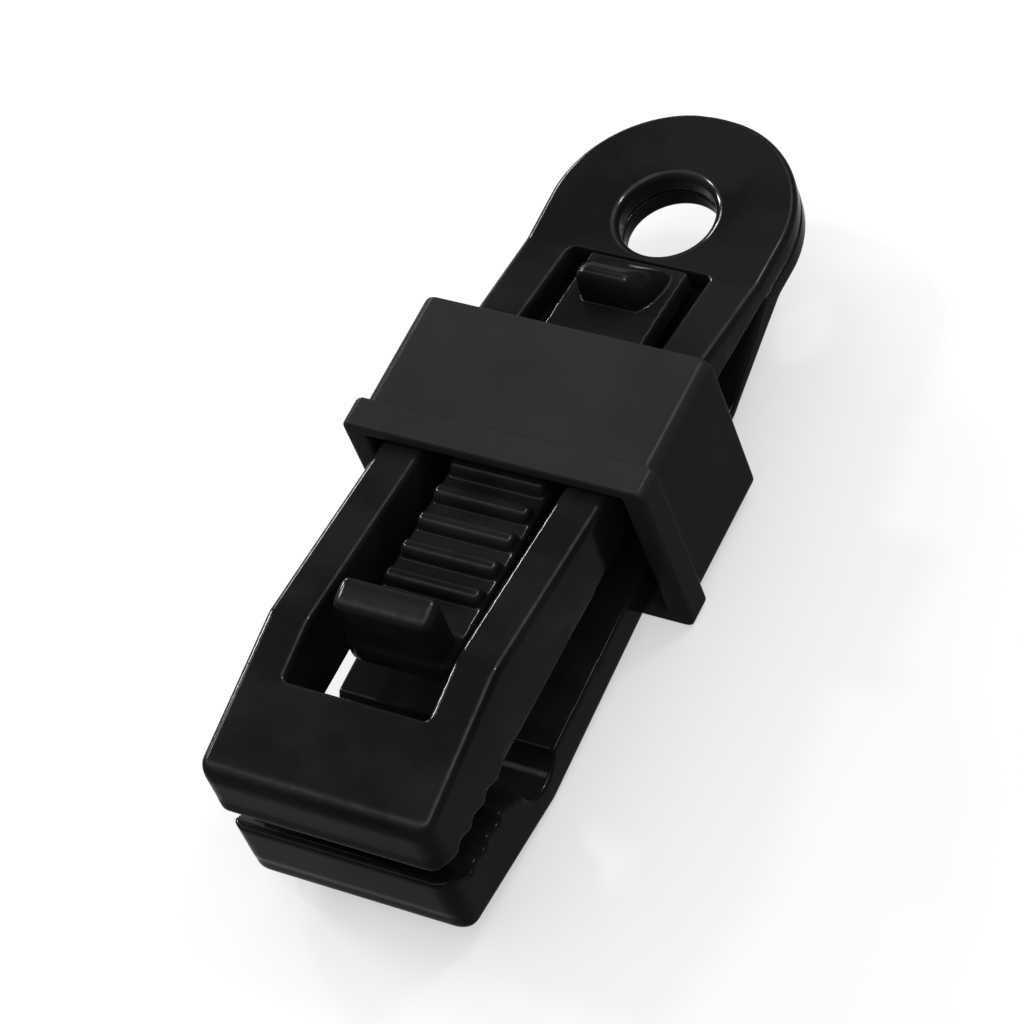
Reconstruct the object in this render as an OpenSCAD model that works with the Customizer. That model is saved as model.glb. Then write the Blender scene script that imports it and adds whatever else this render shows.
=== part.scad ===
// Tarp clip: two wedge-shaped jaw arms joined at a round eye, a ratchet tongue in the upper arm,
// and a sliding collar that squeezes the arms shut.
// The origin lies on the eye hole's axis, level with the middle of the collar.
// +Y points out past the eye, the jaws point along -Y, +X is to the right and +Z is up.

/* [Arms] */
// Width of the upper arm
upper_w = 22.6; // [21:0.1:23.6]
// Width of the lower arm
lower_w = 21.8; // [20:0.1:23.6]
// Distance from the eye hole's centre to the jaw tips
jaw_reach = 68.7; // [68.5:0.1:74]
// Distance from the eye hole's centre to the bend, where the arms are thickest
bend_reach = 53.2; // [50:0.1:55]
// Distance from the eye hole's centre to the place where the arms part
crotch_reach = 5; // [4.8:0.1:8]
// Distance from the eye hole's centre to the end of the eye's flat underside
eye_flat_reach = 3; // [2:0.1:4]
// Distance from the eye hole's centre to the end of the lower arm's thin strap
strap_reach = 14; // [12:0.1:17]
// Radius of the jaw corners, seen from above
corner_r = 1.8; // [0.5:0.1:4]

/* [Arm backs] */
// Height of the upper arm's back above the middle, at the collar's front
upper_collar_h = 8.45; // [7:0.05:9]
// Height of the upper arm's back at the bend
upper_bend_h = 11; // [9.5:0.05:12.5]
// Height of the upper arm's back at the jaw tip, before its rounding
upper_tip_h = 8.4; // [6:0.05:9.5]
// Radius of the upper jaw's nose
upper_nose_r = 1.8; // [0.5:0.1:4]
// Depth of the lower arm's back below the middle, at the end of the strap
lower_strap_h = 5; // [4.6:0.05:6]
// Depth of the lower arm's back at the collar's front
lower_collar_h = 8.1; // [7:0.05:9]
// Depth of the lower arm's back at the bend
lower_bend_h = 9.45; // [8.5:0.05:11]
// Depth of the lower arm's back at the jaw tip, before its rounding
lower_tip_h = 7.25; // [5.5:0.05:8]
// Radius of the lower jaw's nose
lower_nose_r = 1.3; // [0.5:0.1:3]

/* [Inner faces] */
// Height of the seam between the two halves of the eye above the middle
seam_h = 1; // [0.6:0.05:1.2]
// Half of the gap between the two halves of the eye, at the hinge
seam_gap = 0.1; // [0.05:0.05:0.2]
// How much each half falls away from the seam for each millimetre away from the hinge
seam_slope = 0.01; // [0.01:0.001:0.02]
// Height of the upper arm's inner face at the end of the strap
upper_strap_in = 1.5; // [1.4:0.05:2]
// Height of the upper arm's inner face at the collar's front
upper_collar_in = 2.3; // [1.5:0.05:3]
// Height of the upper arm's inner face at its teeth
upper_grip_in = 2.7; // [2.4:0.05:3.2]
// Depth of the lower arm's inner face at the end of the strap
lower_strap_in = 3.7; // [3.2:0.05:4]
// Depth of the lower arm's inner face at the collar's front
lower_collar_in = 4.3; // [3.8:0.05:5]
// Depth of the lower arm's inner face at its pocket
lower_grip_in = 5; // [4.2:0.05:5.5]
// Radius of the round pocket behind the lower teeth
pocket_r = 2.8; // [2:0.05:3]
// Depth of the pocket's axis below the middle
pocket_axis_h = 3.9; // [3.5:0.05:4.5]
// Distance from the eye hole's centre to the pocket's axis
pocket_reach = 53.5; // [52.5:0.1:54]

/* [Teeth] */
// Number of teeth in the upper jaw
upper_teeth_n = 4; // [2:1:4]
// Number of teeth in the lower jaw
lower_teeth_n = 3; // [2:1:3]
// Distance between two teeth
tooth_pitch = 2.5; // [2:0.05:2.5]
// Length of a tooth's steep side
tooth_steep = 0.7; // [0.5:0.05:0.9]
// Depth of the teeth
tooth_depth = 0.85; // [0.4:0.05:1.1]
// Height of the upper tooth tips above the middle
upper_tooth_h = 2.1; // [1.2:0.05:2.3]
// Depth of the lower tooth tips below the middle
lower_tooth_h = 1.5; // [1:0.05:1.8]
// Distance from the eye hole's centre to the first upper tooth
upper_tooth_reach = 58.4; // [58:0.1:58.5]
// Distance from the eye hole's centre to the first lower tooth
lower_tooth_reach = 59.6; // [59:0.1:60]
// Height of the upper jaw's lip above the middle
upper_lip_h = 2.7; // [1.5:0.05:3.2]
// Height of the lower jaw's lip above the middle
lower_lip_h = 0.3; // [-1:0.05:0.5]

/* [Eye] */
// Outer radius of the eye
eye_r = 12; // [11.6:0.05:12.2]
// Radius of the eye hole
hole_r = 4.5; // [3.5:0.05:5]
// Height of the eye's top above the middle
eye_top_h = 3.3; // [3:0.05:4]
// Depth of the eye's underside below the middle
eye_under_h = 1.3; // [0.8:0.05:2]
// Distance of the hinge between the two halves from the eye's outer edge
hinge_inset = 1.8; // [1.4:0.05:1.9]
// Radius of the hinge bead
bead_r = 0.8; // [0.5:0.05:0.9]
// Length of the hinge bead
bead_len = 7; // [5:0.1:7]
// Clearance round the hinge bead
bead_clear = 0.1; // [0.05:0.05:0.2]

/* [Window and tongue] */
// Width of the window in the upper arm
window_w = 14.1; // [12:0.1:15]
// Distance from the eye hole's centre to the window's eye end
window_start = 5.5; // [5.3:0.1:6.5]
// Distance from the eye hole's centre to the window's jaw end
window_end = 58.8; // [57:0.1:60]
// Slot on each side of the tongue
slot_w = 2.05; // [1.5:0.05:2.5]
// Thickness of the tongue
tongue_t = 2.2; // [1.6:0.05:2.6]
// Height of the tongue's top at the foot of the stop nub
tongue_nub_h = 4.3; // [4:0.05:4.6]
// Height of the tongue's top at the collar's front
tongue_collar_h = 6.5; // [5.8:0.05:6.6]
// Height of the tongue's top at the thumb tab
tongue_tab_h = 7.6; // [7:0.05:8]
// Gap between the tongue's root and the eye
root_gap = 0.2; // [0.15:0.05:0.3]
// Distance from the eye hole's centre to the thumb tab's front
tab_reach = 52.6; // [52:0.1:54]
// Thickness of the thumb tab, at its top
tab_t = 3; // [2:0.1:3.2]
// Height of the thumb tab's top above the middle, at its back
tab_h = 14; // [12:0.1:15]
// Drop of the thumb tab's top towards its front
tab_drop = 0.7; // [0:0.1:1.2]
// Width of the thumb tab
tab_w = 9.6; // [8:0.1:9.8]
// Bevel of the thumb tab's top edges
tab_bevel = 0.6; // [0.3:0.1:0.9]
// Number of ratchet ridges
ridges = 8; // [4:1:8]
// Distance between two ridges
ridge_pitch = 3.1; // [2.6:0.1:3.2]
// Distance from the eye hole's centre to the ridge next to the thumb tab
ridge_reach = 45.2; // [44:0.1:46]
// Radius of the ridges
ridge_r = 0.9; // [0.6:0.05:1]
// Height of the ridges above the tongue
ridge_h = 1.1; // [0.7:0.05:1.15]
// How far the ridges stop short of the tongue's edges
ridge_inset = 0.25; // [0:0.05:1]

/* [Stop nub] */
// Distance from the eye hole's centre to the nub's steep front
nub_reach = 12.2; // [11.8:0.1:12.3]
// Height of the nub's front above the middle
nub_h = 9.2; // [8.6:0.1:9.6]
// Height of the nub's crown, halfway along its ramp
nub_crown_h = 7.1; // [6.4:0.1:7.4]
// Width of the nub at its steep front
nub_front_w = 6.2; // [4:0.1:8]
// Width of the nub at its back, where it meets the eye
nub_back_w = 9.4; // [6:0.1:9.6]

/* [Collar] */
// Distance from the eye hole's centre to the collar's front face, with the clip as photographed
collar_reach = 33.2; // [32:0.1:34]
// Length of the collar's sleeve, behind its flange
sleeve_len = 12.25; // [10:0.05:12.4]
// Length of the flange
flange_len = 3; // [2:0.05:3.1]
// Clearance between the collar and the arms' backs
collar_clear = 0.25; // [0.25:0.05:0.5]
// Clearance between the collar's inside and the eye or arms, whichever is wider
side_clear = 0.7; // [0.4:0.05:1]
// Thickness of the sleeve's top and bottom walls
roof_t = 0.75; // [0.6:0.05:1.5]
// Thickness of the sleeve's side walls
side_t = 1.75; // [1:0.05:2.5]
// How far the flange stands above the sleeve
flange_rise = 0.6; // [0.3:0.05:1.5]
// How far the flange stands below the sleeve
flange_drop = 0.95; // [0.3:0.05:1.5]
// How far the flange stands out to each side of the sleeve
flange_spread = 0.55; // [0.3:0.05:2]
// Corner radius of the sleeve
sleeve_corner_r = 1.4; // [0.5:0.1:2.2]
// Corner radius of the flange
flange_corner_r = 0.9; // [0.5:0.1:3]
// How much the collar's inside narrows at its back, above and below
cavity_draft = 0.8; // [0:0.1:1.2]
// Width of the pawl inside the collar's roof
pawl_w = 9.2; // [6:0.1:9.6]
// Length of the pawl
pawl_len = 2; // [1:0.1:2.4]
// Distance of the pawl behind the collar's front
pawl_setback = 1; // [0.6:0.1:1.2]
// Clearance between the pawl and the ridge below it
pawl_clear = 0.5; // [0.5:0.05:0.7]

/* [Hidden] */
$fn = 96;
plastic = [0.07, 0.07, 0.075];
collar_plastic = [0.1, 0.1, 0.105];
// Overshoot of cuts past the faces that they open
over = 1;
// A length past every piece, for cuts that go right through
beyond = jaw_reach;
// Number of straight steps in a jaw nose's arc
nose_steps = 8;
// Length of the slope from the upper arm's inner face to its first tooth
first_tooth_rise = 1.2;
// Bevel of the stop nub's top front edge
nub_bevel = 0.5;
hinge_reach = eye_r - hinge_inset;
tongue_w = window_w - 2 * slot_w;
root_y = -window_start - root_gap;
collar_len = flange_len + sleeve_len;
cavity_w = max(2 * eye_r, upper_w, lower_w) + 2 * side_clear;
cavity_top = upper_collar_h + collar_clear;
cavity_bottom = lower_collar_h + collar_clear;
sleeve_w = cavity_w + 2 * side_t;
pawl_y = -collar_reach + pawl_setback;

// Height of the line through [y0, z0] and [y1, z1] at y
function on_line(y, y0, z0, y1, z1) = z0 + (z1 - z0) * (y - y0) / (y1 - y0);

// Half of the gap between the two halves of the eye at y
function seam(y) = seam_gap + seam_slope * max(hinge_reach - y, 0);

// Point [y, z] on the upper or lower face of the seam, where side is 1 or -1
function seam_point(y, side) = [y, seam_h + side * seam(y)];

// Height of the tongue's top at y, without its ridges
function tongue_top(y) = y > -nub_reach
    ? on_line(y, -window_start, eye_top_h, -nub_reach, tongue_nub_h)
    : y > -collar_reach
        ? on_line(y, -nub_reach, tongue_nub_h, -collar_reach, tongue_collar_h)
        : on_line(y, -collar_reach, tongue_collar_h, -tab_reach, tongue_tab_h);

// Arc that rounds a jaw's front face into its back: the back falls from bend_h to tip_h
function nose(bend_h, tip_h, r) =
    let (
        fall = atan((bend_h - tip_h) / (jaw_reach - bend_reach)),
        centre_y = -jaw_reach + r,
        centre_z = tip_h + r * tan(fall) - r / cos(fall)
    )
    [for (i = [0:nose_steps]) let (a = 180 - (90 - fall) * i / nose_steps)
        [centre_y + r * cos(a), centre_z + r * sin(a)]];

// Saw teeth of the upper jaw from its back forwards, with their steep sides at the back
function upper_teeth() = [
    for (i = [0:upper_teeth_n - 1]) let (tip = upper_tooth_reach + i * tooth_pitch)
        each [
            [-tip, upper_tooth_h],
            [-(tip + tooth_pitch - tooth_steep), upper_tooth_h + tooth_depth],
        ]
];

// Saw teeth of the lower jaw from its back forwards, with their steep sides at the front
function lower_teeth() = [
    for (i = [0:lower_teeth_n - 1]) let (tip = lower_tooth_reach + i * tooth_pitch)
        each [
            [-tip, -lower_tooth_h],
            [-(tip + tooth_steep), -lower_tooth_h - tooth_depth],
        ]
];

// Side view of the upper arm, from the jaw tip along its back and home along its inner face
upper_side = concat(
    nose(upper_bend_h, upper_tip_h, upper_nose_r),
    [
        [-bend_reach, upper_bend_h],
        [-collar_reach, upper_collar_h],
        [-window_start, eye_top_h],
        [eye_r, eye_top_h],
        seam_point(eye_r, 1),
        seam_point(hinge_reach, 1),
        seam_point(-crotch_reach, 1),
        [-strap_reach, upper_strap_in],
        [-collar_reach, upper_collar_in],
        [-upper_tooth_reach + first_tooth_rise, upper_grip_in],
    ],
    upper_teeth(),
    [
        [-jaw_reach + tooth_steep, upper_lip_h],
        [-jaw_reach, upper_lip_h],
    ]
);

// Side view of the lower arm, without its pocket, drawn like the upper one
lower_side = concat(
    [for (p = nose(lower_bend_h, lower_tip_h, lower_nose_r)) [p[0], -p[1]]],
    [
        [-bend_reach, -lower_bend_h],
        [-collar_reach, -lower_collar_h],
        [-strap_reach, -lower_strap_h],
        [-eye_flat_reach, -eye_under_h],
        [eye_r, -eye_under_h],
        seam_point(eye_r, -1),
        seam_point(hinge_reach, -1),
        seam_point(-crotch_reach, -1),
        [-strap_reach, -lower_strap_in],
        [-collar_reach, -lower_collar_in],
        [-pocket_reach + pocket_r, -lower_grip_in],
        [-pocket_reach - pocket_r, -pocket_axis_h],
    ],
    lower_teeth(),
    [
        [-jaw_reach + tooth_steep, lower_lip_h],
        [-jaw_reach, lower_lip_h],
    ]
);

// Side view of the tongue's strip, from its root to its free end
tongue_side = concat(
    [for (y = [root_y, -nub_reach, -collar_reach, -tab_reach]) [y, tongue_top(y)]],
    [for (y = [-tab_reach, -collar_reach, -nub_reach, root_y]) [y, tongue_top(y) - tongue_t]]
);

// A side view [y, z] drawn out across the width w
module across(w, points) {
    rotate([90, 0, 90])
        linear_extrude(height = w, center = true)
            polygon(points);
}

// A straight round bar along X at [y, z]
module cross_bar(y, z, r, len) {
    translate([0, y, z])
        rotate([0, 90, 0])
            cylinder(r = r, h = len, center = true);
}

// A rectangle with round corners, centred
module round_rect(w, h, r) {
    square([w - 2 * r, h], center = true);
    square([w, h - 2 * r], center = true);
    for (x = [-1, 1], y = [-1, 1]) {
        translate([x * (w / 2 - r), y * (h / 2 - r)])
            circle(r = r);
    }
}

// Outline of an arm of width w seen from above, which flares towards the round eye
module arm_plan(w) {
    circle(r = eye_r);
    polygon([
        [-eye_r, 0],
        [-w / 2, -collar_reach],
        [-w / 2, -jaw_reach + corner_r],
        [w / 2, -jaw_reach + corner_r],
        [w / 2, -collar_reach],
        [eye_r, 0],
    ]);
    translate([-w / 2 + corner_r, -jaw_reach])
        square([w - 2 * corner_r, corner_r + over]);
    for (x = [-1, 1]) {
        translate([x * (w / 2 - corner_r), -jaw_reach + corner_r])
            circle(r = corner_r);
    }
}

// An arm of width w with the side view points, the eye hole and the groove for the hinge bead
module arm_blank(w, points) {
    difference() {
        intersection() {
            across(2 * beyond, points);
            linear_extrude(height = 2 * beyond, center = true)
                arm_plan(w);
        }
        cylinder(r = hole_r, h = 2 * beyond, center = true);
        cross_bar(hinge_reach, seam_h, bead_r + bead_clear, bead_len + 2 * bead_clear);
    }
}

// Upper jaw arm with its long window
module upper_arm() {
    color(plastic)
        difference() {
            arm_blank(upper_w, upper_side);
            translate([-window_w / 2, -window_end, -beyond])
                cube([window_w, window_end - window_start, 2 * beyond]);
        }
}

// Lower jaw arm with the round pocket behind its teeth
module lower_arm() {
    color(plastic)
        difference() {
            arm_blank(lower_w, lower_side);
            cross_bar(-pocket_reach, -pocket_axis_h, pocket_r, 2 * beyond);
        }
}

// Bead of the moulded hinge that joins the two arms at the eye's far end
module hinge_bead() {
    color(plastic)
        cross_bar(hinge_reach, seam_h, bead_r, bead_len);
}

// Thumb tab at the tongue's free end
module thumb_tab() {
    back = -tab_reach + tab_t;
    front_top = tab_h - tab_drop;
    across(tab_w, [
        [-tab_reach, tongue_tab_h - tongue_t],
        [back, tongue_top(back) - tongue_t],
        [back, tab_h - tab_bevel],
        [back - tab_bevel, tab_h],
        [-tab_reach + tab_bevel, front_top],
        [-tab_reach, front_top - tab_bevel],
    ]);
}

// Ramp-backed stop nub at the tongue's root
module stop_nub() {
    intersection() {
        across(tongue_w, [
            [root_y, tongue_top(root_y) - tongue_t / 2],
            [root_y, tongue_top(root_y)],
            [(root_y - nub_reach) / 2, nub_crown_h],
            [-nub_reach + nub_bevel, nub_h],
            [-nub_reach, nub_h - nub_bevel],
            [-nub_reach, tongue_nub_h - tongue_t / 2],
        ]);
        linear_extrude(height = 2 * beyond, center = true)
            polygon([
                [-nub_back_w / 2, root_y],
                [-nub_front_w / 2, -nub_reach],
                [nub_front_w / 2, -nub_reach],
                [nub_back_w / 2, root_y],
            ]);
    }
}

// Springy ratchet tongue in the upper arm's window
module release_tongue() {
    color(plastic)
        union() {
            across(tongue_w, tongue_side);
            thumb_tab();
            stop_nub();
            for (i = [0:ridges - 1]) {
                y = -ridge_reach + i * ridge_pitch;
                cross_bar(y, tongue_top(y) + ridge_h - ridge_r, ridge_r, tongue_w - 2 * ridge_inset);
            }
        }
}

// Solid of the collar's outside, from its front face backwards by len
module collar_shell(rise, drop, spread, r, len) {
    top = cavity_top + roof_t + rise;
    bottom = cavity_bottom + roof_t + drop;
    translate([0, -collar_reach + len, (top - bottom) / 2])
        rotate([90, 0, 0])
            linear_extrude(height = len)
                round_rect(sleeve_w + 2 * spread, top + bottom, r);
}

// Sliding collar with its front flange and the pawl in its roof
module slide_collar() {
    pawl_bottom = tongue_top(pawl_y) + ridge_h + pawl_clear;
    color(collar_plastic)
        union() {
            difference() {
                union() {
                    collar_shell(0, 0, 0, sleeve_corner_r, collar_len);
                    collar_shell(flange_rise, flange_drop, flange_spread, flange_corner_r, flange_len);
                }
                across(cavity_w, [
                    [-collar_reach - over, cavity_top],
                    [-collar_reach - over, -cavity_bottom],
                    [-collar_reach + flange_len, -cavity_bottom],
                    [-collar_reach + collar_len, -cavity_bottom + cavity_draft],
                    [-collar_reach + collar_len + over, -cavity_bottom + cavity_draft],
                    [-collar_reach + collar_len + over, cavity_top - cavity_draft],
                    [-collar_reach + collar_len, cavity_top - cavity_draft],
                    [-collar_reach + flange_len, cavity_top],
                ]);
            }
            translate([-pawl_w / 2, pawl_y, pawl_bottom])
                cube([pawl_w, pawl_len, cavity_top + roof_t / 2 - pawl_bottom]);
        }
}

upper_arm();
lower_arm();
hinge_bead();
release_tongue();
slide_collar();
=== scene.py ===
"""Looks of the tarp clip: rounded, moulded pieces, their plastics, and the studio."""

import math

import bpy
import numpy as np
from mathutils import Matrix, Vector


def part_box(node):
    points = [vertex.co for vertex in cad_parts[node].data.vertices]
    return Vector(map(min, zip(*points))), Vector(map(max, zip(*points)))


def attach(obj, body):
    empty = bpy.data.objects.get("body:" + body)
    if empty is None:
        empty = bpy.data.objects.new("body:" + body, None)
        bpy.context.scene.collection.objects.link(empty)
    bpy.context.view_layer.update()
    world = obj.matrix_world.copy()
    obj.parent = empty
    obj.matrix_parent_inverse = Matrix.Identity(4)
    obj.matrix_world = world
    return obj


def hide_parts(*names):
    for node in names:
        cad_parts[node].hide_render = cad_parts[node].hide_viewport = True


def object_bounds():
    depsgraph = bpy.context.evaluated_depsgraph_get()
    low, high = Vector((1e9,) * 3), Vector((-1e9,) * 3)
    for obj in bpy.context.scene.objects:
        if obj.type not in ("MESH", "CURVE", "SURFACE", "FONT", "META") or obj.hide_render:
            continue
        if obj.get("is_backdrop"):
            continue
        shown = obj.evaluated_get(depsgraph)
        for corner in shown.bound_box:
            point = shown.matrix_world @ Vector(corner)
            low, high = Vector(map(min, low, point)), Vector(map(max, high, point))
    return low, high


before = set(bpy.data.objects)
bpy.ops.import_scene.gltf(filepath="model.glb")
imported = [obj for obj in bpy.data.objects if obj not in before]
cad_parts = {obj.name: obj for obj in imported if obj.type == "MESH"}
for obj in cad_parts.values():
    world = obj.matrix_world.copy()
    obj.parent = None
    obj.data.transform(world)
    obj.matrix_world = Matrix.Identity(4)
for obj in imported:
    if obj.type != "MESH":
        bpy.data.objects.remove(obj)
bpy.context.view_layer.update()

MM = 0.001
FINE_CELL = 0.2 * MM
CELL = FINE_CELL


# Places read from the CAD nodes

upper_low, upper_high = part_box("upper_arm")
lower_low, lower_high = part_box("lower_arm")
tongue_low, tongue_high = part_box("release_tongue")
collar_low, collar_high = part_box("slide_collar")

JAW_TIP_Y = upper_low.y
EYE_R = upper_high.x
COLLAR_FRONT_Y = collar_low.y
COLLAR_BACK_Y = collar_high.y
TONGUE_FRONT_Y = tongue_low.y
TONGUE_ROOT_Y = tongue_high.y
BEND_Z = upper_high.z
LOWER_BEND_Z = lower_low.z
TAB_TOP_Z = tongue_high.z


# Sizes of the arms

BEND_Y = -53.2 * MM
UPPER_W = 22.6 * MM
LOWER_W = 21.8 * MM
CORNER_R = 1.8 * MM
HOLE_R = 4.5 * MM
EYE_TOP_Z = 3.3 * MM
EYE_UNDER_Z = -1.3 * MM
EYE_FLAT_Y = -3 * MM
CROTCH_Y = -5 * MM
CROTCH_RELIEF = 0.06 * MM
STRAP_Y = -14 * MM
STRAP_BACK_Z = -5 * MM
UPPER_STRAP_INNER_Z = 1.5 * MM
UPPER_COLLAR_INNER_Z = 2.3 * MM
UPPER_MOUTH_INNER_Z = 2.7 * MM
LOWER_STRAP_INNER_Z = -3.7 * MM
LOWER_COLLAR_INNER_Z = -4.3 * MM
LOWER_MOUTH_INNER_Z = -5 * MM
SEAM_TOP_Z = upper_low.z
SEAM_UNDER_Z = lower_high.z
UPPER_COLLAR_Z = 8.45 * MM
UPPER_TIP_Z = 8.4 * MM
UPPER_NOSE_R = 1.8 * MM
LOWER_COLLAR_Z = -8.1 * MM
LOWER_TIP_Z = -7.25 * MM
LOWER_NOSE_R = 1.3 * MM
WINDOW_W = 14.1 * MM
WINDOW_BACK_Y = -5.5 * MM
WINDOW_FRONT_Y = -58.8 * MM
WINDOW_CORNER_R = 0.5 * MM
POCKET_Y = -53.5 * MM
POCKET_Z = -3.9 * MM
POCKET_R = 2.8 * MM

# Sizes of the teeth

UPPER_TEETH = 4
LOWER_TEETH = 3
TOOTH_PITCH = 2.5 * MM
TOOTH_STEEP = 0.7 * MM
TOOTH_DEPTH = 0.85 * MM
UPPER_TOOTH_Z = 2.1 * MM
LOWER_TOOTH_Z = -1.5 * MM
UPPER_TOOTH_Y = -58.4 * MM
LOWER_TOOTH_Y = -59.6 * MM
UPPER_LIP_Z = 2.7 * MM
LOWER_LIP_Z = 0.3 * MM
FIRST_TOOTH_RISE = 1.2 * MM

# Sizes of the tongue

TONGUE_W = 10 * MM
TONGUE_T = 2.2 * MM
NUB_Y = -12.2 * MM
NUB_FOOT_Z = 4.3 * MM
TONGUE_COLLAR_Z = 6.5 * MM
TONGUE_TAB_Z = 7.6 * MM
TAB_T = 3 * MM
TAB_DROP = 0.7 * MM
TAB_W = 9.6 * MM
RIDGES = 8
RIDGE_PITCH = 3.1 * MM
RIDGE_Y = -45.2 * MM
RIDGE_R = 0.9 * MM
RIDGE_H = 1.1 * MM
RIDGE_INSET = 0.25 * MM
NUB_TOP_Z = 9.2 * MM
NUB_CROWN_Z = 7.1 * MM
NUB_FRONT_W = 6.2 * MM
NUB_BACK_W = 9.4 * MM

# Sizes of the collar

FLANGE_LEN = 3 * MM
FLANGE_RISE = 0.6 * MM
FLANGE_DROP = 0.95 * MM
FLANGE_SPREAD = 0.55 * MM
SIDE_T = 1.75 * MM
ROOF_T = 0.75 * MM
CAVITY_DRAFT = 0.8 * MM
SLEEVE_CORNER_R = 1.4 * MM
FLANGE_CORNER_R = 0.9 * MM
PAWL_W = 9.2 * MM
PAWL_LEN = 2 * MM
PAWL_SETBACK = 1 * MM
PAWL_CLEAR = 0.5 * MM


# Signed distances, negative inside, on grids that broadcast against each other

MARGIN_CELLS = 3


def grid_lines(low, high):
    """Grid places along X, Y and Z round a block from low to high, and the same shaped to broadcast."""
    margin = MARGIN_CELLS * CELL
    lines = [np.arange(a - margin, b + margin + CELL, CELL) for a, b in zip(low, high)]
    return lines, np.meshgrid(*lines, indexing="ij", sparse=True)


def outline_distance(u, v, corners):
    """Signed distance to a closed outline of straight stretches."""
    u, v = np.broadcast_arrays(u, v)
    nearest = np.full(u.shape, np.inf)
    inside = np.zeros(u.shape, bool)
    for (u0, v0), (u1, v1) in zip(corners, corners[1:] + corners[:1]):
        along_u, along_v = u1 - u0, v1 - v0
        t = ((u - u0) * along_u + (v - v0) * along_v) / (along_u ** 2 + along_v ** 2)
        t = np.clip(t, 0, 1)
        nearest = np.minimum(nearest, np.hypot(u - u0 - t * along_u, v - v0 - t * along_v))
        if v0 != v1:
            crossing = (v0 > v) != (v1 > v)
            inside ^= crossing & (u < u0 + (v - v0) * along_u / along_v)
    return np.where(inside, -nearest, nearest)


def box_distance(u, v, half_u, half_v, r):
    """Signed distance to a centred rectangle with round corners."""
    over_u = np.abs(u) - half_u + r
    over_v = np.abs(v) - half_v + r
    outside = np.hypot(np.maximum(over_u, 0), np.maximum(over_v, 0))
    return outside + np.minimum(np.maximum(over_u, over_v), 0) - r


def meet(a, b, r):
    """What is inside both a and b, with the edge between them rounded to r."""
    rounded = np.hypot(np.maximum(a + r, 0), np.maximum(b + r, 0))
    return np.minimum(-r, np.maximum(a, b)) + rounded


def join(a, b, r):
    """What is inside a or b, with a fillet of radius r between them."""
    return -meet(-a, -b, r)


def cut(a, b, r):
    """What is inside a but not in b, with the edge of the cut rounded to r."""
    return meet(a, -b, r)


def along(y, stations):
    """Height at y on the line through stations of (y, height), given in rising order of y."""
    return np.interp(y, [s[0] for s in stations], [s[1] for s in stations])


# From a field to a mesh

CORNERS = [(i, j, k) for i in (0, 1) for j in (0, 1) for k in (0, 1)]
EVEN_SHADING_WEIGHT = 80
WIDE_REACH = 1
CLOSE_REACH = 0.5
SMOOTH_ANGLE = math.radians(4)
LEAST_RISE = 1e-12


def shifted(values, corner, size):
    """The block of the grid's values that starts at a corner of each cell."""
    i, j, k = corner
    return values[i:i + size[0], j:j + size[1], k:k + size[2]]


def cell_points(field, size, active):
    """Point inside each active cell: the mean of the places where the surface crosses its edges."""
    total = np.zeros((int(active.sum()), 3))
    count = np.zeros(len(total))
    for a in CORNERS:
        for axis in range(3):
            if a[axis]:
                continue
            b = tuple(1 if n == axis else v for n, v in enumerate(a))
            fa = shifted(field, a, size)[active]
            fb = shifted(field, b, size)[active]
            crosses = (fa < 0) != (fb < 0)
            t = np.where(crosses, fa / np.where(crosses, fa - fb, 1), 0)
            place = np.array(a, float)[None, :].repeat(len(t), 0)
            place[:, axis] = t
            total[crosses] += place[crosses]
            count += crosses
    return total / count[:, None]


def net_faces(field, numbers, size):
    """Quads round every grid edge that the surface crosses, turned to face outwards."""
    faces = []
    for axis in range(3):
        u, v = (axis + 1) % 3, (axis + 2) % 3
        low = [slice(1, n) for n in size]
        high = list(low)
        low[axis] = slice(0, size[axis])
        high[axis] = slice(1, size[axis] + 1)
        inside_low = field[tuple(low)] < 0
        inside_high = field[tuple(high)] < 0
        for starts_inside in (True, False):
            hits = (inside_low == starts_inside) & (inside_high != starts_inside)
            where = np.argwhere(hits)
            where[:, u] += 1
            where[:, v] += 1
            ring = []
            for du, dv in ((-1, -1), (0, -1), (0, 0), (-1, 0)):
                cells = where.copy()
                cells[:, u] += du
                cells[:, v] += dv
                ring.append(numbers[tuple(cells.T)])
            quads = np.stack(ring, 1)
            faces.append(quads if starts_inside else quads[:, ::-1])
    return np.concatenate(faces)


def sampled(field, places):
    """The field's values at places given in cells, read evenly between the grid's points."""
    last = np.array(field.shape) - 2
    base = np.clip(np.floor(places).astype(int), 0, last)
    part = places - base
    total = np.zeros(len(places))
    for corner in CORNERS:
        share = np.prod(np.where(corner, part, 1 - part), axis=1)
        total += share * field[tuple((base + corner).T)]
    return total


def field_directions(field, places, reach):
    """Unit vectors along which the field rises, measured reach cells to either side of places."""
    rises = []
    for axis in range(3):
        step = reach * np.eye(3)[axis]
        rises.append(sampled(field, places + step) - sampled(field, places - step))
    rises = np.stack(rises, 1)
    return rises / np.maximum(np.linalg.norm(rises, axis=1), LEAST_RISE)[:, None]


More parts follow.
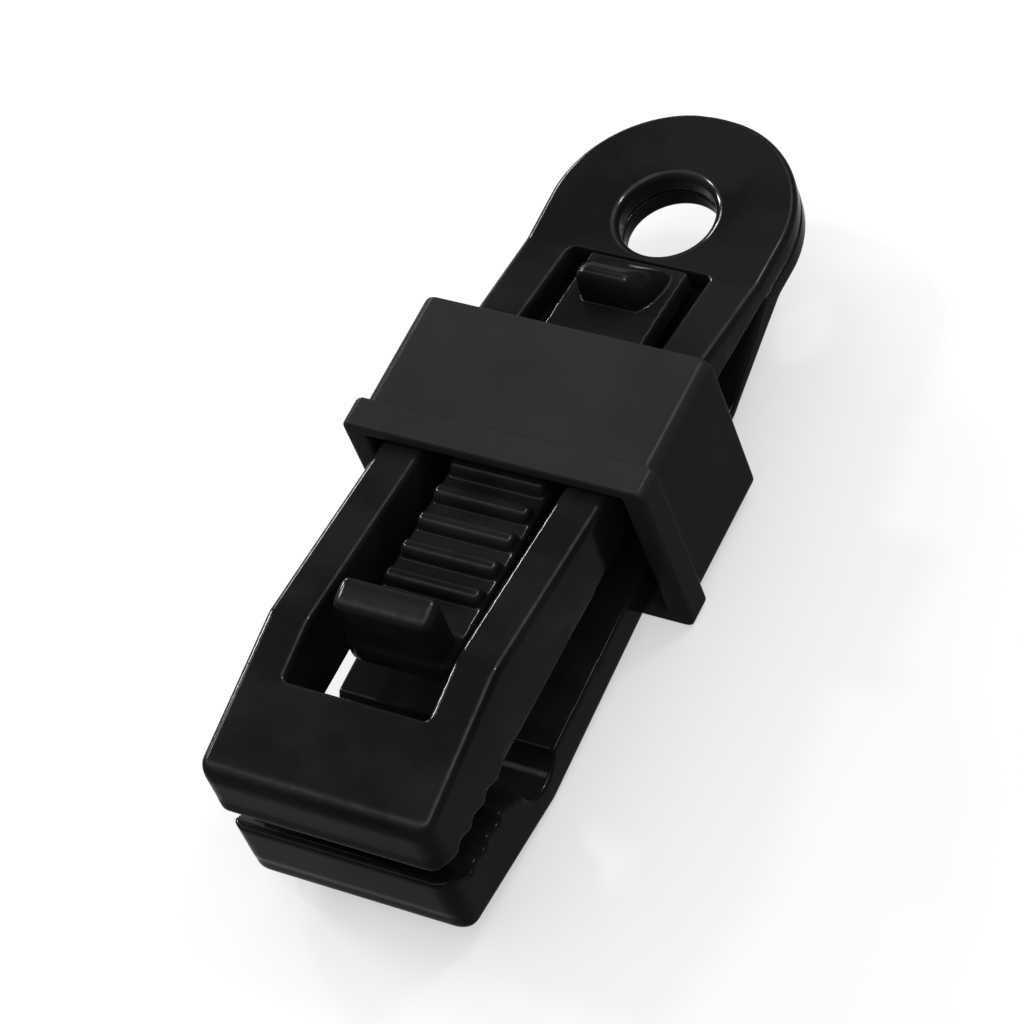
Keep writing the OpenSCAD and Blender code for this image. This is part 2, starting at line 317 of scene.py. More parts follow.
def shade_from_field(mesh, field, start):
    """Takes the mesh's normals from the field where that is smooth, and keeps them at sharp edges."""
    points = np.empty(3 * len(mesh.vertices))
    mesh.vertices.foreach_get("co", points)
    places = (points.reshape(-1, 3) - start) / CELL
    corner_normals = np.empty(3 * len(mesh.loops))
    mesh.corner_normals.foreach_get("vector", corner_normals)
    vertex_of_corner = np.empty(len(mesh.loops), np.int32)
    mesh.loops.foreach_get("vertex_index", vertex_of_corner)
    normals = np.zeros((len(mesh.vertices), 3))
    normals[vertex_of_corner] = corner_normals.reshape(-1, 3)
    wide = field_directions(field, places, WIDE_REACH)
    close = field_directions(field, places, CLOSE_REACH)
    smooth = (wide * close).sum(axis=1) > math.cos(SMOOTH_ANGLE)
    normals[smooth] = wide[smooth]
    mesh.normals_split_custom_set_from_vertices(normals.tolist())


def surface_net(name, field, start):
    """Closed mesh on the zero surface of a field whose grid begins at start."""
    size = tuple(n - 1 for n in field.shape)
    inside = field < 0
    corners_inside = sum(shifted(inside, c, size).astype(np.int8) for c in CORNERS)
    active = (corners_inside > 0) & (corners_inside < len(CORNERS))
    numbers = np.full(size, -1)
    numbers[active] = np.arange(active.sum())
    points = start + (np.argwhere(active) + cell_points(field, size, active)) * CELL
    mesh = bpy.data.meshes.new(name)
    mesh.from_pydata(points.tolist(), [], net_faces(field, numbers, size).tolist())
    mesh.validate()
    mesh.shade_smooth()
    return mesh


def thinned_mesh(piece, keep_share):
    """The piece's mesh with fewer faces where it is flat. The piece is left without modifiers."""
    thin = piece.modifiers.new("thin_out_flats", "DECIMATE")
    thin.ratio = keep_share
    thin.use_collapse_triangulate = True
    even = piece.modifiers.new("even_shading", "WEIGHTED_NORMAL")
    even.weight = EVEN_SHADING_WEIGHT
    even.keep_sharp = True
    bpy.context.view_layer.update()
    depsgraph = bpy.context.evaluated_depsgraph_get()
    thinned = bpy.data.meshes.new_from_object(piece.evaluated_get(depsgraph))
    piece.modifiers.clear()
    return thinned


def skin(name, field, lines, material, keep_share, node, body):
    """Piece on the zero surface of a field, which rides on a body and stands for a CAD node."""
    start = np.array([line[0] for line in lines])
    piece = bpy.data.objects.new(name, surface_net(name, field, start))
    bpy.context.scene.collection.objects.link(piece)
    piece.data = thinned_mesh(piece, keep_share)
    shade_from_field(piece.data, field, start)
    piece.data.materials.clear()
    piece.data.materials.append(material)
    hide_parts(node)
    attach(piece, body)


def soften(field, width):
    """The field blurred over about width along the axes that it varies on, which rounds its corners."""
    passes = max(1, round((width / CELL) ** 2))
    for _ in range(passes):
        for axis, count in enumerate(field.shape):
            if count > 1:
                ends = [(1, 1) if n == axis else (0, 0) for n in range(3)]
                wide = np.pad(field, ends, mode="edge")
                before = np.take(wide, range(0, count), axis)
                after = np.take(wide, range(2, count + 2), axis)
                field = (before + 2 * field + after) / 4
    return field


def arc(centre, r, start_deg, end_deg, steps):
    """Points on an arc, both ends included."""
    angles = np.radians(np.linspace(start_deg, end_deg, steps + 1))
    return [(centre[0] + r * math.cos(a), centre[1] + r * math.sin(a)) for a in angles]


# The two arms

EYE_STEPS = 64
CORNER_STEPS = 10
NOSE_STEPS = 8
UPPER_EDGE_R = 0.7 * MM
LOWER_EDGE_R = 0.6 * MM
WINDOW_EDGE_R = 0.5 * MM
WINDOW_BACK_EDGE_R = 0.05 * MM
SEAM_EDGE_R = 0.2 * MM
HOLE_EDGE_R = 1 * MM
HOLE_SEAM_EDGE_R = 0.05 * MM
MOULD_SOFTNESS = 0.3 * MM
EDGE_SHARE = 0.45
ARM_KEEP_SHARE = 0.22


def nose(bend_z, tip_z, r):
    """Arc that rounds a jaw's front face into its back, for the upper jaw's side."""
    fall = math.atan2(bend_z - tip_z, BEND_Y - JAW_TIP_Y)
    centre = (JAW_TIP_Y + r, tip_z + r * math.tan(fall) - r / math.cos(fall))
    return arc(centre, r, 180, 90 + math.degrees(fall), NOSE_STEPS)


def saw(teeth, first_y, tip_z, root_z, tip_to_root):
    """Saw teeth from the back forwards, each a tip and the root in front of it."""
    points = []
    for i in range(teeth):
        tip = first_y - i * TOOTH_PITCH
        points += [(tip, tip_z), (tip - tip_to_root, root_z)]
    return points


UPPER_INNER = [
    (EYE_R, SEAM_TOP_Z),
    (CROTCH_Y, SEAM_TOP_Z + CROTCH_RELIEF),
    (STRAP_Y, UPPER_STRAP_INNER_Z),
    (COLLAR_FRONT_Y, UPPER_COLLAR_INNER_Z),
    (UPPER_TOOTH_Y + FIRST_TOOTH_RISE, UPPER_MOUTH_INNER_Z),
]
LOWER_INNER = [
    (EYE_R, SEAM_UNDER_Z),
    (CROTCH_Y, SEAM_UNDER_Z - CROTCH_RELIEF),
    (STRAP_Y, LOWER_STRAP_INNER_Z),
    (COLLAR_FRONT_Y, LOWER_COLLAR_INNER_Z),
    (POCKET_Y + POCKET_R, LOWER_MOUTH_INNER_Z),
    (POCKET_Y - POCKET_R, POCKET_Z),
]


def upper_side():
    """Side view of the upper arm, from the jaw tip along its back and home along its inner face."""
    back = [
        (BEND_Y, BEND_Z),
        (COLLAR_FRONT_Y, UPPER_COLLAR_Z),
        (WINDOW_BACK_Y, EYE_TOP_Z),
        (EYE_R, EYE_TOP_Z),
    ]
    root_z = UPPER_TOOTH_Z + TOOTH_DEPTH
    teeth = saw(UPPER_TEETH, UPPER_TOOTH_Y, UPPER_TOOTH_Z, root_z, TOOTH_PITCH - TOOTH_STEEP)
    lip = [(JAW_TIP_Y + TOOTH_STEEP, UPPER_LIP_Z), (JAW_TIP_Y, UPPER_LIP_Z)]
    return nose(BEND_Z, UPPER_TIP_Z, UPPER_NOSE_R) + back + UPPER_INNER + teeth + lip


def lower_side():
    """Side view of the lower arm without its pocket, drawn like the upper one."""
    front = [(y, -z) for y, z in nose(-LOWER_BEND_Z, -LOWER_TIP_Z, LOWER_NOSE_R)]
    back = [
        (BEND_Y, LOWER_BEND_Z),
        (COLLAR_FRONT_Y, LOWER_COLLAR_Z),
        (STRAP_Y, STRAP_BACK_Z),
        (EYE_FLAT_Y, EYE_UNDER_Z),
        (EYE_R, EYE_UNDER_Z),
    ]
    root_z = LOWER_TOOTH_Z - TOOTH_DEPTH
    teeth = saw(LOWER_TEETH, LOWER_TOOTH_Y, LOWER_TOOTH_Z, root_z, TOOTH_STEEP)
    lip = [(JAW_TIP_Y + TOOTH_STEEP, LOWER_LIP_Z), (JAW_TIP_Y, LOWER_LIP_Z)]
    return front + back + LOWER_INNER + teeth + lip


def arm_plan(width):
    """Outline of an arm seen from above."""
    half = width / 2
    corner_y = JAW_TIP_Y + CORNER_R
    left = arc((CORNER_R - half, corner_y), CORNER_R, 180, 270, CORNER_STEPS)
    right = arc((half - CORNER_R, corner_y), CORNER_R, 270, 360, CORNER_STEPS)
    eye = arc((0, 0), EYE_R, 0, 180, EYE_STEPS)
    return eye + [(-half, COLLAR_FRONT_Y)] + left + right + [(half, COLLAR_FRONT_Y)]


def arm_field(x, y, z, width, side_points, inner, sign, outer_edge_r):
    """An arm with its eye hole, whose edges are less round towards its inner face.

    sign is 1 where the arm's back is on top, and -1 where it is below.
    """
    side = soften(outline_distance(y, z, side_points), MOULD_SOFTNESS)
    plan = outline_distance(x, y, arm_plan(width))
    depth = sign * (z - along(y, sorted(inner)))
    edge_r = np.clip(EDGE_SHARE * depth, SEAM_EDGE_R, outer_edge_r)
    rim_r = np.clip(EDGE_SHARE * depth, HOLE_SEAM_EDGE_R, HOLE_EDGE_R)
    return cut(meet(side, plan, edge_r), np.hypot(x, y) - HOLE_R, rim_r)


def upper_arm(material):
    """Upper jaw arm with its long window."""
    lines, (x, y, z) = grid_lines(upper_low, upper_high)
    arm = arm_field(x, y, z, UPPER_W, upper_side(), UPPER_INNER, 1, UPPER_EDGE_R)
    middle = (WINDOW_BACK_Y + WINDOW_FRONT_Y) / 2
    half_len = (WINDOW_BACK_Y - WINDOW_FRONT_Y) / 2
    window = box_distance(x, y - middle, WINDOW_W / 2, half_len, WINDOW_CORNER_R)
    edge_r = along(y, [
        (WINDOW_BACK_Y - WINDOW_CORNER_R, WINDOW_EDGE_R),
        (WINDOW_BACK_Y, WINDOW_BACK_EDGE_R),
    ])
    skin("upper_jaw_arm", cut(arm, window, edge_r), lines, material, ARM_KEEP_SHARE,
         node="upper_arm", body="upper_jaw")


def lower_arm(material):
    """Lower jaw arm with the round pocket behind its teeth."""
    lines, (x, y, z) = grid_lines(lower_low, lower_high)
    arm = arm_field(x, y, z, LOWER_W, lower_side(), LOWER_INNER, -1, LOWER_EDGE_R)
    pocket = np.hypot(y - POCKET_Y, z - POCKET_Z) - POCKET_R
    skin("lower_jaw_arm", cut(arm, pocket, SEAM_EDGE_R), lines, material, ARM_KEEP_SHARE,
         node="lower_arm", body="lower_jaw")


# The tongue

TONGUE_TOP = [
    (TONGUE_FRONT_Y, TONGUE_TAB_Z),
    (COLLAR_FRONT_Y, TONGUE_COLLAR_Z),
    (NUB_Y, NUB_FOOT_Z),
    (WINDOW_BACK_Y, EYE_TOP_Z),
]
TONGUE_EDGE_R = 0.3 * MM
RIDGE_END_R = 0.5 * MM
RIDGE_FILLET_R = 0.15 * MM
TAB_EDGE_R = 0.8 * MM
TAB_BACK_R = 0.5 * MM
TAB_FILLET_R = 0.8 * MM
NUB_EDGE_R = 1.9 * MM
NUB_SOFTNESS = 1.05 * MM
NUB_FILLET_R = 0.15 * MM
TONGUE_KEEP_SHARE = 0.3


def tongue_strip(x, y, z):
    """The plain strip of the tongue."""
    top = [s for s in TONGUE_TOP if s[0] < TONGUE_ROOT_Y]
    top.append((TONGUE_ROOT_Y, float(along(TONGUE_ROOT_Y, TONGUE_TOP))))
    under = [(s[0], s[1] - TONGUE_T) for s in reversed(top)]
    side = outline_distance(y, z, top + under)
    return meet(side, np.abs(x) - TONGUE_W / 2, TONGUE_EDGE_R)


def tongue_ridge(x, y, z, index):
    """One round-topped ridge of the ratchet."""
    ridge_y = RIDGE_Y + index * RIDGE_PITCH
    ridge_z = along(ridge_y, TONGUE_TOP) + RIDGE_H - RIDGE_R
    bar = np.hypot(y - ridge_y, z - ridge_z) - RIDGE_R
    return meet(bar, np.abs(x) - TONGUE_W / 2 + RIDGE_INSET, RIDGE_END_R)


def thumb_tab(x, y, z):
    """Upright tab at the tongue's free end."""
    back = TONGUE_FRONT_Y + TAB_T
    side = soften(outline_distance(y, z, [
        (TONGUE_FRONT_Y, TONGUE_TAB_Z - TONGUE_T),
        (back, TONGUE_TAB_Z - TONGUE_T),
        (back, TAB_TOP_Z),
        (TONGUE_FRONT_Y, TAB_TOP_Z - TAB_DROP),
    ]), TAB_BACK_R)
    return meet(side, np.abs(x) - TAB_W / 2, TAB_EDGE_R)


def stop_nub(x, y, z):
    """Soft, ramp-backed nub at the tongue's root."""
    middle_y = (TONGUE_ROOT_Y + NUB_Y) / 2
    side = soften(outline_distance(y, z, [
        (TONGUE_ROOT_Y, NUB_FOOT_Z - TONGUE_T),
        (TONGUE_ROOT_Y, float(along(TONGUE_ROOT_Y, TONGUE_TOP))),
        (middle_y, NUB_CROWN_Z),
        (NUB_Y, NUB_TOP_Z),
        (NUB_Y, NUB_FOOT_Z - TONGUE_T / 2),
    ]), NUB_SOFTNESS)
    plan = outline_distance(x, y, [
        (-NUB_BACK_W / 2, TONGUE_ROOT_Y),
        (-NUB_FRONT_W / 2, NUB_Y),
        (NUB_FRONT_W / 2, NUB_Y),
        (NUB_BACK_W / 2, TONGUE_ROOT_Y),
    ])
    return meet(side, plan, NUB_EDGE_R)


def release_tongue(material):
    """Springy ratchet tongue with its ridges, thumb tab and stop nub."""
    lines, (x, y, z) = grid_lines(tongue_low, tongue_high)
    tongue = tongue_strip(x, y, z)
    for index in range(RIDGES):
        tongue = join(tongue, tongue_ridge(x, y, z, index), RIDGE_FILLET_R)
    tongue = join(tongue, thumb_tab(x, y, z), TAB_FILLET_R)
    tongue = join(tongue, stop_nub(x, y, z), NUB_FILLET_R)
    skin("ratchet_tongue", tongue, lines, material, TONGUE_KEEP_SHARE,
         node="release_tongue", body="tongue")


# The collar

COLLAR_MID_Z = (collar_low.z + collar_high.z) / 2
COLLAR_HALF_W = (collar_high.x - collar_low.x) / 2
FLANGE_BACK_Y = COLLAR_FRONT_Y + FLANGE_LEN
FLANGE_HALF_H = (collar_high.z - collar_low.z) / 2
SLEEVE_MID_Z = COLLAR_MID_Z + (FLANGE_DROP - FLANGE_RISE) / 2
SLEEVE_HALF_H = FLANGE_HALF_H - (FLANGE_RISE + FLANGE_DROP) / 2
SLEEVE_HALF_W = COLLAR_HALF_W - FLANGE_SPREAD
CAVITY_HALF_W = SLEEVE_HALF_W - SIDE_T
ROOF_Z = SLEEVE_MID_Z + SLEEVE_HALF_H - ROOF_T
UNDER_Z = SLEEVE_MID_Z - SLEEVE_HALF_H + ROOF_T

SLEEVE_EDGE_R = 0.25 * MM
FLANGE_FRONT_EDGE_R = 0.3 * MM
FLANGE_BACK_EDGE_R = 0.08 * MM
FLANGE_FILLET_R = 0.1 * MM
MOUTH_EDGE_R = 0.3 * MM
PAWL_EDGE_R = 0.15 * MM
COLLAR_KEEP_SHARE = 0.2


def collar_shell(x, y, z):
    """Solid sleeve with the flange round its front."""
    middle = (COLLAR_FRONT_Y + COLLAR_BACK_Y) / 2
    ends = np.abs(y - middle) - (COLLAR_BACK_Y - COLLAR_FRONT_Y) / 2
    flange = box_distance(x, z - COLLAR_MID_Z, COLLAR_HALF_W, FLANGE_HALF_H, FLANGE_CORNER_R)
    flange = meet(flange, COLLAR_FRONT_Y - y, FLANGE_FRONT_EDGE_R)
    flange = meet(flange, y - FLANGE_BACK_Y, FLANGE_BACK_EDGE_R)
    sleeve = box_distance(x, z - SLEEVE_MID_Z, SLEEVE_HALF_W, SLEEVE_HALF_H, SLEEVE_CORNER_R)
    return join(flange, meet(sleeve, ends, SLEEVE_EDGE_R), FLANGE_FILLET_R)


def collar_cavity(x, y, z):
    """Opening through the collar, whose roof and floor draw together towards the eye."""
    roof = along(y, [(FLANGE_BACK_Y, ROOF_Z), (COLLAR_BACK_Y, ROOF_Z - CAVITY_DRAFT)])
    under = along(y, [(FLANGE_BACK_Y, UNDER_Z), (COLLAR_BACK_Y, UNDER_Z + CAVITY_DRAFT)])
    return np.maximum(np.abs(x) - CAVITY_HALF_W, np.maximum(z - roof, under - z))


def collar_pawl(x, y, z):
    """Small tooth under the collar's roof, above the ridges."""
    front = COLLAR_FRONT_Y + PAWL_SETBACK
    low = along(front, TONGUE_TOP) + RIDGE_H + PAWL_CLEAR
    high = ROOF_Z + ROOF_T / 2
    plan = box_distance(x, y - front - PAWL_LEN / 2, PAWL_W / 2, PAWL_LEN / 2, PAWL_EDGE_R)
    return meet(plan, np.maximum(low - z, z - high), PAWL_EDGE_R)


def slide_collar(material):
    """Sliding collar: a sleeve, its front flange, and the pawl in its roof."""
    lines, (x, y, z) = grid_lines(collar_low, collar_high)
    collar = cut(collar_shell(x, y, z), collar_cavity(x, y, z), MOUTH_EDGE_R)
    collar = join(collar, collar_pawl(x, y, z), PAWL_EDGE_R)
    skin("sliding_collar", collar, lines, material, COLLAR_KEEP_SHARE,
         node="slide_collar", body="collar")


# Plastics

MOTTLE_SCALE = 120
MOTTLE_DETAIL = 4
MOTTLE_RANGE = (0.36, 0.64)
GRAIN_SCALE = 2600
GRAIN_DETAIL = 2
SCUFF_SCALE = 900
SCUFF_DETAIL = 5
SCUFF_RANGE = (0.35, 0.65)
RELIEF_DEPTH = 0.05 * MM
NYLON_IOR = 1.5
BODY_COLOURS = ((0.0071, 0.0071, 0.0073), (0.0123, 0.0123, 0.0125))
BODY_SHEEN = 0.012
BODY_GLOSS = (0.1, 0.14)
BODY_GRAIN_SHARE = 0.7
BODY_BUMP = 0.05
BODY_POLISH = (0.9, 0.25, 0.12)
COLLAR_COLOURS = ((0.0226, 0.0226, 0.0228), (0.0254, 0.0254, 0.0256))
COLLAR_SHEEN = 0.004
COLLAR_GLOSS = (0.16, 0.22)
COLLAR_GRAIN_SHARE = 0.8
COLLAR_BUMP = 0.08
COLLAR_POLISH = (0.2, 1, 0.28)
EDGE_FROM_WALL = (0.8, 0.9)
EDGE_TO_TOP = (0.93, 0.99)
EDGE_TO_FRONT = (-0.45, -0.25)
EDGE_TO_BACK = (0.25, 0.45)
RUBBED_NOISE = (0.4, 0.6)
RUBBED_LEAST = 0.7

SURFACE_INPUTS = {
    "Vector": "NodeSocketVector",
    "Deep Colour": "NodeSocketColor",
    "Worn Colour": "NodeSocketColor",
    "Gloss Low": "NodeSocketFloat",
    "Gloss High": "NodeSocketFloat",
    "Grain Share": "NodeSocketFloat",
    "Facing": "NodeSocketVector",
    "Edge Polish": "NodeSocketFloat",
    "Front Share": "NodeSocketFloat",
}
SURFACE_OUTPUTS = {
    "Colour": "NodeSocketColor",
    "Roughness": "NodeSocketFloat",
    "Height": "NodeSocketFloat",
    "Polish": "NodeSocketFloat",
}


def noise(tree, vector, scale, detail):
    """Values of a noise texture."""
    texture = tree.nodes.new("ShaderNodeTexNoise")
    texture.inputs["Scale"].default_value = scale
    texture.inputs["Detail"].default_value = detail
    tree.links.new(vector, texture.inputs["Vector"])
    return texture.outputs["Fac"]


def soft_step(tree, source, low, high, start, end):
    """A value that goes softly from start to end while the source goes from low to high."""
    step = tree.nodes.new("ShaderNodeMapRange")
    step.interpolation_type = "SMOOTHSTEP"
    step.inputs["From Min"].default_value = low
    step.inputs["From Max"].default_value = high
    step.inputs["To Min"].default_value = start
    step.inputs["To Max"].default_value = end
    tree.links.new(source, step.inputs["Value"])
    return step.outputs["Result"]


def combined(tree, operation, *values):
    """Several values taken together, one after another, by an operation of the Math node."""
    total = values[0]
    for value in values[1:]:
        step = tree.nodes.new("ShaderNodeMath")
        step.operation = operation
        tree.links.new(total, step.inputs[0])
        tree.links.new(value, step.inputs[1])
        total = step.outputs["Value"]
    return total


def edge_mask(tree, facing, front_share):
    """1 on edges between walls and tops, front_share on those towards the jaw tip, 0 towards the eye."""
    parts = tree.nodes.new("ShaderNodeSeparateXYZ")
    tree.links.new(facing, parts.inputs["Vector"])
    above_walls = soft_step(tree, parts.outputs["Z"], *EDGE_FROM_WALL, 0, 1)
    below_tops = soft_step(tree, parts.outputs["Z"], *EDGE_TO_TOP, 1, 0)
    not_backwards = soft_step(tree, parts.outputs["Y"], *EDGE_TO_BACK, 1, 0)
    less_in_front = soft_step(tree, parts.outputs["Y"], *EDGE_TO_FRONT, 0, 1)
    tree.links.new(front_share, less_in_front.node.inputs["To Min"])
    return combined(tree, "MULTIPLY", above_walls, below_tops, not_backwards, less_in_front)


def moulded_surface_group():
    """Shared surface of moulded plastic: uneven colour and gloss, grain as height, polished edges."""
    group = bpy.data.node_groups.new("moulded_surface", "ShaderNodeTree")
    for way, sockets in (("INPUT", SURFACE_INPUTS), ("OUTPUT", SURFACE_OUTPUTS)):
        for name, kind in sockets.items():
            group.interface.new_socket(name=name, in_out=way, socket_type=kind)
    nodes, links = group.nodes, group.links
    given = nodes.new("NodeGroupInput").outputs
    made = nodes.new("NodeGroupOutput").inputs
    mottle = noise(group, given["Vector"], MOTTLE_SCALE, MOTTLE_DETAIL)
    grain = noise(group, given["Vector"], GRAIN_SCALE, GRAIN_DETAIL)
    scuff = noise(group, given["Vector"], SCUFF_SCALE, SCUFF_DETAIL)

    colour = nodes.new("ShaderNodeMix")
    colour.data_type = "RGBA"
    links.new(soft_step(group, mottle, *MOTTLE_RANGE, 0, 1), colour.inputs["Factor"])
    links.new(given["Deep Colour"], colour.inputs["A"])
    links.new(given["Worn Colour"], colour.inputs["B"])
    links.new(colour.outputs["Result"], made["Colour"])

    gloss = nodes.new("ShaderNodeMapRange")
    gloss.inputs["From Min"].default_value = SCUFF_RANGE[0]
    gloss.inputs["From Max"].default_value = SCUFF_RANGE[1]
    links.new(scuff, gloss.inputs["Value"])
    links.new(given["Gloss Low"], gloss.inputs["To Min"])
    links.new(given["Gloss High"], gloss.inputs["To Max"])
    links.new(gloss.outputs["Result"], made["Roughness"])

    height = nodes.new("ShaderNodeMix")
    links.new(given["Grain Share"], height.inputs["Factor"])
    links.new(mottle, height.inputs["A"])
    links.new(grain, height.inputs["B"])
    links.new(height.outputs["Result"], made["Height"])

    edges = edge_mask(group, given["Facing"], given["Front Share"])
    rubbed = soft_step(group, scuff, *RUBBED_NOISE, RUBBED_LEAST, 1)
    links.new(combined(group, "MULTIPLY", given["Edge Polish"], edges, rubbed), made["Polish"])
    return group


def plastic(name, surface, colours, sheen, gloss, grain_share, bump, polish):
    """One plastic with its own values of the shared surface.

    colours are its deep and worn colour, and gloss its least and largest roughness. polish is how strong
    the polish of its edges is, the share of it on edges that face the jaw tip, and its roughness.
    """
    material = bpy.data.materials.new(name)
    material.use_nodes = True
    nodes, links = material.node_tree.nodes, material.node_tree.links
    shader = nodes["Principled BSDF"]
    shader.inputs["IOR"].default_value = NYLON_IOR
    shader.inputs["Specular IOR Level"].default_value = sheen
    place = nodes.new("ShaderNodeTexCoord")
    look = nodes.new("ShaderNodeGroup")
    look.node_tree = surface
    look.inputs["Deep Colour"].default_value = (*colours[0], 1)
    look.inputs["Worn Colour"].default_value = (*colours[1], 1)
    look.inputs["Gloss Low"].default_value = gloss[0]
    look.inputs["Gloss High"].default_value = gloss[1]
    look.inputs["Grain Share"].default_value = grain_share
    look.inputs["Edge Polish"].default_value = polish[0]
    look.inputs["Front Share"].default_value = polish[1]
    shader.inputs["Coat Roughness"].default_value = polish[2]
    relief = nodes.new("ShaderNodeBump")
    relief.inputs["Strength"].default_value = bump
    relief.inputs["Distance"].default_value = RELIEF_DEPTH
    links.new(place.outputs["Object"], look.inputs["Vector"])
    links.new(place.outputs["Normal"], look.inputs["Facing"])
    links.new(look.outputs["Polish"], shader.inputs["Coat Weight"])
    links.new(look.outputs["Colour"], shader.inputs["Base Color"])
    links.new(look.outputs["Roughness"], shader.inputs["Roughness"])
    links.new(look.outputs["Height"], relief.inputs["Height"])
    links.new(relief.outputs["Normal"], shader.inputs["Normal"])
    return material


# The studio

CAMERA_AZIMUTH = math.radians(45.563)
CAMERA_ELEVATION = math.radians(50.931)
CAMERA_ROLL = math.radians(-24.14)
CAMERA_DISTANCE = 478.72 * MM
CAMERA_TARGET = Vector((-44.91, 10.87, -75.50)) * MM
CAMERA_LENS_MM = 152.9
SENSOR_MM = 36
NEAREST_SEEN = 0.01
FARTHEST_SEEN = 20
FLOOR_GAP = 0.02 * MM
FLOOR_HALF = 2
SKY_COLOUR = (1, 1, 1, 1)
SKY_TOP = 1.14
SKY_EDGE = 0.05
FIBRE_SCALE = 400
FIBRE_DETAIL = 2
PAPER_ROUGHNESS = 0.9
PAPER_SHEEN = 0.1
PAPER_LOW = (0.955, 0.955, 0.955, 1)
PAPER_HIGH = (0.965, 0.965, 0.965, 1)
PAPER_BOUNCE = (0.15, 0.15, 0.15, 1)
PLAIN_WHITE_SHARE = 0.5
RIM_LAMP_SIZE = 0.12
TOP_LAMP_SIZE = 0.1


def camera():
    """Camera at the photograph's viewing angle."""
    a, e, r = CAMERA_AZIMUTH, CAMERA_ELEVATION, CAMERA_ROLL
    back = Vector((math.sin(a) * math.cos(e), -math.cos(a) * math.cos(e), math.sin(e)))
    level = Vector((math.cos(a), math.sin(a), 0))
    up = back.cross(level)
    right = math.cos(r) * level + math.sin(r) * up
    top = math.cos(r) * up - math.sin(r) * level
    data = bpy.data.cameras.new("photo_camera")
    data.lens = CAMERA_LENS_MM
    data.sensor_width = SENSOR_MM
    data.clip_start = NEAREST_SEEN
    data.clip_end = FARTHEST_SEEN
    view = bpy.data.objects.new("photo_camera", data)
    turn = Matrix((right, top, back)).transposed().to_4x4()
    view.matrix_world = Matrix.Translation(CAMERA_TARGET + back * CAMERA_DISTANCE) @ turn
    bpy.context.scene.collection.objects.link(view)
    bpy.context.scene.camera = view


def softbox(name, place, aim, size, watts):
    """A square lamp at place that shines at aim."""
    data = bpy.data.lights.new(name, "AREA")
    data.shape = "SQUARE"
    data.size = size
    data.energy = watts
    lamp = bpy.data.objects.new(name, data)
    lamp.location = place
    lamp.rotation_euler = (Vector(aim) - Vector(place)).to_track_quat("-Z", "Y").to_euler()
    bpy.context.scene.collection.objects.link(lamp)


def studio_world():
    """Soft light from above, which fades towards the horizon."""
    world = bpy.data.worlds.new("studio_world")
    world.use_nodes = True
    bpy.context.scene.world = world
    nodes, links = world.node_tree.nodes, world.node_tree.links
    sky = nodes["Background"]
    sky.inputs["Color"].default_value = SKY_COLOUR
    way = nodes.new("ShaderNodeTexCoord")
    parts = nodes.new("ShaderNodeSeparateXYZ")
    fade = nodes.new("ShaderNodeMapRange")
    fade.interpolation_type = "SMOOTHSTEP"
    fade.inputs["To Min"].default_value = SKY_EDGE
    fade.inputs["To Max"].default_value = SKY_TOP
    links.new(way.outputs["Generated"], parts.inputs["Vector"])
    links.new(parts.outputs["Z"], fade.inputs["Value"])
    links.new(fade.outputs["Result"], sky.inputs["Strength"])


def rays_that_see_white(tree):
    """1 for the rays that show the paper to the camera, straight or by way of gloss or glass."""
    rays = tree.nodes.new("ShaderNodeLightPath").outputs
    return combined(tree, "MAXIMUM", rays["Is Camera Ray"], rays["Is Glossy Ray"],
                    rays["Is Transmission Ray"])


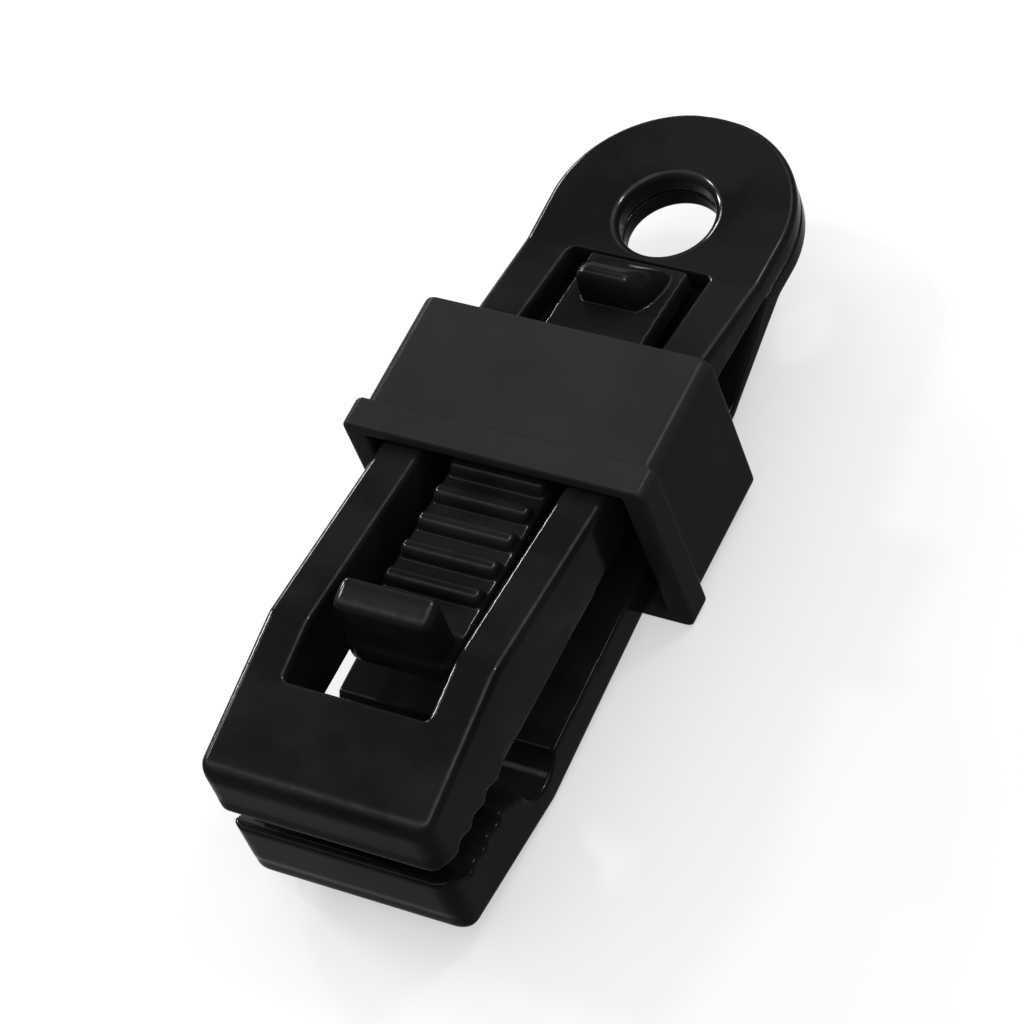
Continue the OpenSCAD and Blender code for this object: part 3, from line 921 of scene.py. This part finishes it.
def paper_material():
    """White paper to look at, which throws less light back at the object than white paper would."""
    material = bpy.data.materials.new("white_paper")
    material.use_nodes = True
    tree = material.node_tree
    nodes, links = tree.nodes, tree.links
    seen = rays_that_see_white(tree)
    tint = nodes.new("ShaderNodeMix")
    tint.data_type = "RGBA"
    tint.inputs["A"].default_value = PAPER_LOW
    tint.inputs["B"].default_value = PAPER_HIGH
    place = nodes.new("ShaderNodeTexCoord")
    links.new(noise(tree, place.outputs["Generated"], FIBRE_SCALE, FIBRE_DETAIL), tint.inputs["Factor"])
    bounce = nodes.new("ShaderNodeMix")
    bounce.data_type = "RGBA"
    bounce.inputs["A"].default_value = PAPER_BOUNCE
    links.new(seen, bounce.inputs["Factor"])
    links.new(tint.outputs["Result"], bounce.inputs["B"])
    paper = nodes["Principled BSDF"]
    paper.inputs["Roughness"].default_value = PAPER_ROUGHNESS
    paper.inputs["Specular IOR Level"].default_value = PAPER_SHEEN
    links.new(bounce.outputs["Result"], paper.inputs["Base Color"])

    white = nodes.new("ShaderNodeEmission")
    share = nodes.new("ShaderNodeMath")
    share.operation = "MULTIPLY"
    share.inputs[1].default_value = PLAIN_WHITE_SHARE
    links.new(seen, share.inputs[0])
    blend = nodes.new("ShaderNodeMixShader")
    links.new(share.outputs["Value"], blend.inputs["Fac"])
    links.new(paper.outputs["BSDF"], blend.inputs[1])
    links.new(white.outputs["Emission"], blend.inputs[2])
    links.new(blend.outputs["Shader"], nodes["Material Output"].inputs["Surface"])
    return material


def studio_floor():
    """White floor that keeps the object's soft shadow."""
    low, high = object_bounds()
    z = low[2] - FLOOR_GAP
    mesh = bpy.data.meshes.new("studio_floor")
    h = FLOOR_HALF
    mesh.from_pydata([(-h, -h, z), (h, -h, z), (h, h, z), (-h, h, z)], [], [(0, 1, 2, 3)])
    mesh.materials.append(paper_material())
    floor = bpy.data.objects.new("studio_floor", mesh)
    bpy.context.scene.collection.objects.link(floor)
    floor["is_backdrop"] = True


# The clip in its studio

moulded_surface = moulded_surface_group()
body_plastic = plastic("glossy_black_nylon", moulded_surface, BODY_COLOURS, BODY_SHEEN, BODY_GLOSS,
                       BODY_GRAIN_SHARE, BODY_BUMP, BODY_POLISH)
collar_plastic = plastic("satin_black_nylon", moulded_surface, COLLAR_COLOURS, COLLAR_SHEEN, COLLAR_GLOSS,
                         COLLAR_GRAIN_SHARE, COLLAR_BUMP, COLLAR_POLISH)
upper_arm(body_plastic)
lower_arm(body_plastic)
release_tongue(body_plastic)
slide_collar(collar_plastic)
for bead_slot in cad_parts["hinge_bead"].material_slots:
    bead_slot.material = body_plastic

camera()
studio_world()
studio_floor()
softbox("rail_rim_softbox", place=(-0.67, 0.48, 0.29), aim=(0, -0.045, 0.008),
        size=RIM_LAMP_SIZE, watts=1.5)
softbox("eye_rim_softbox", place=(-0.7, 0.4, 0.4), aim=(0, -0.01, 0),
        size=RIM_LAMP_SIZE, watts=0.8)
softbox("head_rim_softbox", place=(-0.79, 0.16, 0.37), aim=(0, -0.05, 0.01),
        size=RIM_LAMP_SIZE, watts=1.8)
softbox("hole_rim_softbox", place=(-0.645, 0.02, 0.67), aim=(0, 0, 0),
        size=TOP_LAMP_SIZE, watts=1.4)
softbox("edge_softbox", place=(0.26, 0.35, 0.72), aim=(0, -0.03, 0),
        size=TOP_LAMP_SIZE, watts=0.8)
bpy.context.scene.view_settings.view_transform = "Standard"
